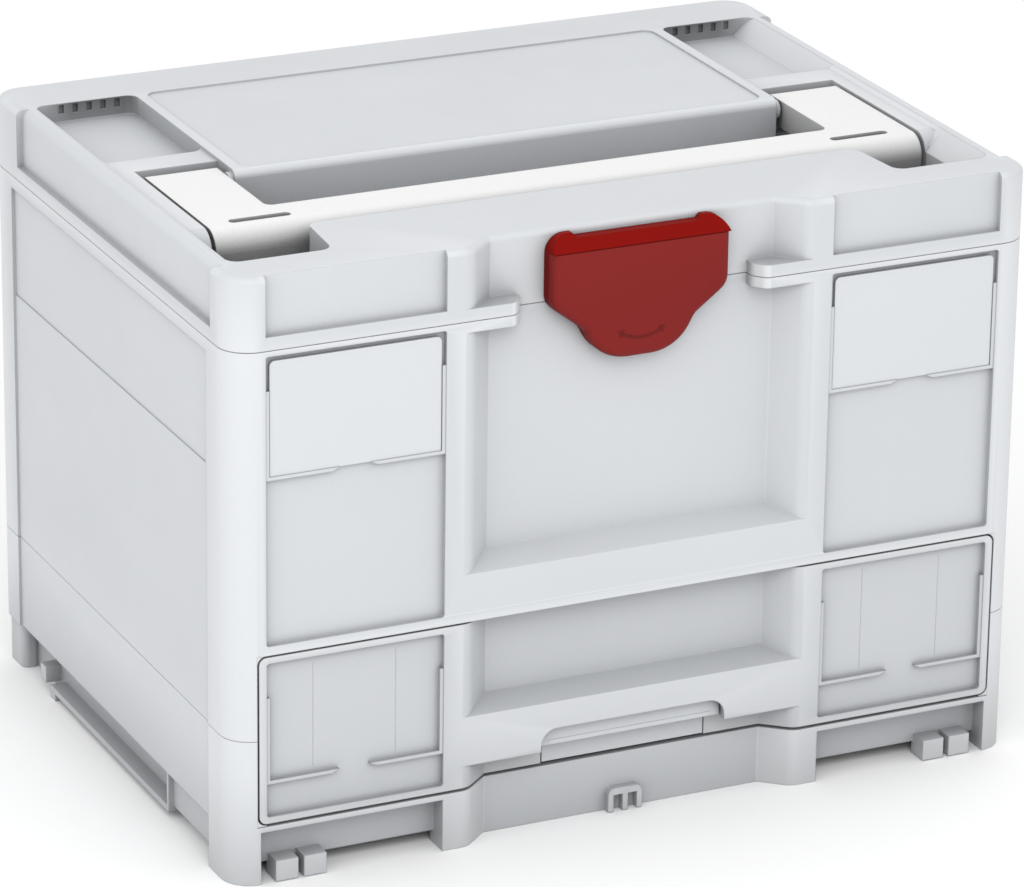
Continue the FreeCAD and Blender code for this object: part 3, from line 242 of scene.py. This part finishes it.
housing = moulded("housing_plastic", GREY, GREY_EDGE, **SHELL_FINISH)
plate = moulded("plate_plastic", GREY, shade(GREY, PLATE_EDGE_TONE),
                grain=2600.0, depth_mm=0.03, rough=0.4, round_mm=0.5, drift=0.012)
lid = moulded("lid_plastic", GREY, GREY_EDGE, **SHELL_FINISH, pockets=True)
# drawer front: darker copy of the housing plastic as painted shade, with stronger painted shade in its
# recesses
drawer = moulded("drawer_plastic", shade(GREY, DRAWER_SHADE_TONE), shade(GREY_EDGE, DRAWER_SHADE_TONE),
                 **SHELL_FINISH, painted_shade=0.56)
runner = moulded("runner_plastic", GREY_DARK, GREY,
                 grain=1800.0, depth_mm=0.04, rough=0.5, round_mm=0.5, drift=0.04)
handle = moulded("handle_plastic", WHITE, WHITE_EDGE,
                 grain=1250.0, depth_mm=0.22, rough=0.55, round_mm=1.2, speckle=0.32, drift=0.02, painted_shade=0.8)
latch = moulded("latch_plastic", RED, shade(RED, LATCH_EDGE_TONE),
                grain=2200.0, depth_mm=0.03, rough=0.52, round_mm=0.9, drift=0.05, shine=0.14)
mark = moulded("latch_mark", shade(RED, MARK_TONE), shade(RED, MARK_EDGE_TONE),
               grain=2600.0, depth_mm=0.02, rough=0.4, round_mm=0.2, drift=0.05, shine=0.14)
steel = moulded("turned_steel", STEEL, STEEL_EDGE,
                grain=3200.0, depth_mm=0.03, rough=0.32, round_mm=0.2, drift=0.06, metal=1.0)
latch_back = moulded("latch_back_plastic", RED_DARK, shade(RED_DARK, LATCH_EDGE_TONE),
                     grain=2200.0, depth_mm=0.03, rough=0.42, round_mm=0.9, drift=0.07, shine=0.03)

SLOTS = {
    "housing": housing,
    "plate": plate,
    "runner": runner,
    "handle": handle,
    "latch": latch,
    "steel": steel,
}
SLOT_OF = {entry["node"]: entry["material_slot"] for entry in frame["record"]["subparts"]}
OWN_LOOK = {"lid_shell": lid, "latch_base": latch_back, "drawer_front": drawer}


def dress(piece, material):
    piece.data.materials.clear()
    piece.data.materials.append(material)


for node_name, thing in frame["nodes"].items():
    dress(thing, OWN_LOOK.get(node_name, SLOTS[SLOT_OF[node_name]]))


def add_piece(name, form, material, body):
    """Turns a built form into a piece that rides on a body."""
    bmesh.ops.recalc_face_normals(form, faces=form.faces)
    mesh = bpy.data.meshes.new(name)
    form.to_mesh(mesh)
    form.free()
    piece = bpy.data.objects.new(name, mesh)
    bpy.context.collection.objects.link(piece)
    dress(piece, material)
    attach(piece, body)


def add_tube(form, near, far):
    """Sides between two rings of corners."""
    for i in range(len(near)):
        j = (i + 1) % len(near)
        form.faces.new((near[i], near[j], far[j], far[i]))


def add_prism(form, plan, front, back, back_plan=None):
    """Closed prism over (x, z) points from a front to a back y, where it may end on other points."""
    near = [form.verts.new((x, front, z)) for x, z in plan]
    far = [form.verts.new((x, back, z)) for x, z in back_plan or plan]
    form.faces.new(near)
    form.faces.new(list(reversed(far)))
    add_tube(form, near, far)


def turn_mark():
    """Raised arrow, bent and with two heads, that shows which way the latch turns."""
    centre_z, front = 0.2526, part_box("latch_cover")[0].y
    radius, half_angle, half_width, height = 0.0186, math.radians(30), 0.0007, 0.0002
    head_angle, head_half = math.radians(9.5), 0.0021
    band_crown, head_crown = 0.7, 0.85
    steps = 24
    band = ((-1, -height), (-band_crown, height), (band_crown, height), (1, -height))
    form = bmesh.new()

    def spot(angle, reach, lift):
        return form.verts.new((reach * math.sin(angle), front - lift, centre_z - reach * math.cos(angle)))

    def crowned(value, middle):
        return value * head_crown + middle * (1 - head_crown)

    rows = []
    for step in range(steps + 1):
        angle = -half_angle + 2 * half_angle * step / steps
        rows.append([spot(angle, radius + side * half_width, lift) for side, lift in band])
    form.faces.new(rows[0])
    form.faces.new(list(reversed(rows[-1])))
    for first, second in zip(rows, rows[1:]):
        add_tube(form, first, second)
    for sign in (-1, 1):
        inner = sign * half_angle
        tip = sign * (half_angle + head_angle)
        middle = (2 * inner + tip) / 3
        head = [(inner, radius - head_half), (tip, radius), (inner, radius + head_half)]
        low = [spot(angle, reach, -height) for angle, reach in head]
        top = [spot(crowned(angle, middle), crowned(reach, radius), height) for angle, reach in head]
        form.faces.new(top)
        form.faces.new(list(reversed(low)))
        add_tube(form, low, top)
    add_piece("latch_turn_mark", form, mark, "latch")


def opening_corners():
    """Rounded corners of the drawer's opening that follow the corners of the drawer front."""
    low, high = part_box("drawer_front")
    gap, corner, depth, sink = 0.0009, 0.0035, 0.008, 0.0002
    reach = corner + gap
    steps = 10
    turns = [math.pi / 2 * step / steps for step in range(steps + 1)]
    form = bmesh.new()
    for side_x in (-1, 1):
        for side_z, edge_z in ((-1, low.z), (1, high.z)):
            middle_x, middle_z = high.x - corner, edge_z - side_z * corner
            arc = [(middle_x + reach * math.cos(turn), middle_z + side_z * reach * math.sin(turn))
                   for turn in turns]
            outer_x, outer_z = middle_x + reach + ROOT, middle_z + side_z * (reach + ROOT)
            plan = arc + [(arc[-1][0], outer_z), (outer_x, outer_z), (outer_x, arc[0][1])]
            add_prism(form, [(side_x * x, z) for x, z in plan], low.y + sink, low.y + depth)
    add_piece("drawer_opening_corners", form, housing, "case")


def bay_lines():
    """Fine upright lines on the floors of the drawer front's side bays."""
    places = (-0.1578, -0.1177, 0.1177, 0.1578)
    half, lift = 0.0002, 0.00003
    low_z, high_z = 0.053, 0.1025
    form = bmesh.new()
    for x in places:
        plan = [(x - half, low_z), (x + half, low_z), (x + half, high_z), (x - half, high_z)]
        add_prism(form, plan, DRAWER_BAY - lift, DRAWER_BAY + ROOT)
    add_piece("drawer_bay_lines", form, drawer, "drawer")


def side_slopes():
    """Sloped walls inside the lid's sides: in the pockets, beside the shelves and in the corner holes."""
    sink = 0.00004
    rim = DECK_TOP - sink
    outer = POCKET_OUTER + ROOT
    pocket_width, shelf_width, tip_width = 0.0098, 0.0025, 0.0015
    end_inset, end_depth, end_length = 0.0020, 0.0110, 0.0020
    tip_ahead, tip_behind = 0.0050, 0.0030

    def section(inner, foot, low):
        return [(inner, low), (outer, low), (outer, DECK_TOP - ROOT), (POCKET_OUTER, rim), (inner, foot)]

    def even_section(inner, low):
        return section(inner, rim - (POCKET_OUTER - inner), low)

    pocket = section(POCKET_OUTER - pocket_width, POCKET_FLOOR - ROOT / 3, POCKET_FLOOR - ROOT)
    shelf = section(POCKET_OUTER - shelf_width, SHELF_TOP, SHELF_TOP - ROOT)
    shelf_tip = even_section(POCKET_OUTER - tip_width, SHELF_TOP - ROOT)
    shelf_end = even_section(HOLE_INNER + end_inset, SHELF_TOP - end_depth)
    corner = even_section(HOLE_INNER, HOLE_FLOOR - ROOT)
    flat_front = SHELF_FRONT + SHELF_ROUND
    form = bmesh.new()
    for side in (-1, 1):
        for front, front_outline, back, back_outline in (
            (POCKET_FRONT - ROOT, pocket, POCKET_BACK + ROOT, pocket),
            (flat_front + tip_behind, shelf, POCKET_FRONT, shelf),
            (flat_front - tip_ahead, shelf_tip, flat_front + tip_behind, shelf),
            (SHELF_FRONT + ROOT, shelf_end, flat_front + end_length, shelf_end),
            (HOLE_FRONT - ROOT, corner, SHELF_FRONT + ROOT, corner),
        ):
            add_prism(form, [(side * x, z) for x, z in front_outline], front, back,
                      [(side * x, z) for x, z in back_outline])
    add_piece("lid_side_slopes", form, housing, "lid")


turn_mark()
opening_corners()
bay_lines()
side_slopes()


def set_camera():
    """Camera at the photograph's viewpoint, turned by yaw, pitch and roll."""
    ahead = Vector((
        math.sin(CAMERA_YAW) * math.cos(CAMERA_PITCH),
        math.cos(CAMERA_YAW) * math.cos(CAMERA_PITCH),
        -math.sin(CAMERA_PITCH),
    ))
    level = Vector((math.cos(CAMERA_YAW), -math.sin(CAMERA_YAW), 0))
    upright = level.cross(ahead)
    right = math.cos(CAMERA_ROLL) * level + math.sin(CAMERA_ROLL) * upright
    up = -math.sin(CAMERA_ROLL) * level + math.cos(CAMERA_ROLL) * upright
    data = bpy.data.cameras.new("camera")
    data.sensor_width = SENSOR
    data.lens = FOCAL_PIXELS / IMAGE_WIDTH * SENSOR
    data.clip_end = FAR_CLIP
    camera = bpy.data.objects.new("camera", data)
    turn = Matrix((right, up, -ahead)).transposed().to_4x4()
    camera.matrix_world = Matrix.Translation(CAMERA_PLACE) @ turn
    bpy.context.collection.objects.link(camera)
    bpy.context.scene.camera = camera


def area_light(name, place, aim, size, power):
    data = bpy.data.lights.new(name, "AREA")
    data.shape = "DISK"
    data.size = size
    data.energy = power
    light = bpy.data.objects.new(name, data)
    light.location = place
    light.rotation_euler = (Vector(aim) - Vector(place)).to_track_quat("-Z", "Y").to_euler()
    bpy.context.collection.objects.link(light)


def set_stage():
    """Pale floor, bright even surroundings and soft studio lights."""
    corners = [(x * FLOOR_HALF, y * FLOOR_HALF, 0) for x, y in ((-1, -1), (1, -1), (1, 1), (-1, 1))]
    mesh = bpy.data.meshes.new("floor")
    mesh.from_pydata(corners, [], [(0, 1, 2, 3)])
    floor = bpy.data.objects.new("floor", mesh)
    bpy.context.collection.objects.link(floor)
    paint = bpy.data.materials.new("floor_paint")
    paint.use_nodes = True
    shader = paint.node_tree.nodes["Principled BSDF"]
    shader.inputs["Base Color"].default_value = FLOOR_COLOUR
    shader.inputs["Roughness"].default_value = FLOOR_ROUGH
    dress(floor, paint)
    world = bpy.data.worlds.new("studio")
    world.use_nodes = True
    sky = world.node_tree.nodes["Background"]
    sky.inputs["Color"].default_value = SKY_COLOUR
    sky.inputs["Strength"].default_value = SKY_STRENGTH
    bpy.context.scene.world = world
    for name, (place, aim, size, power) in LIGHTS.items():
        area_light(name, place, aim, size, power)
    bpy.context.scene.view_settings.view_transform = "Standard"


set_camera()
set_stage()
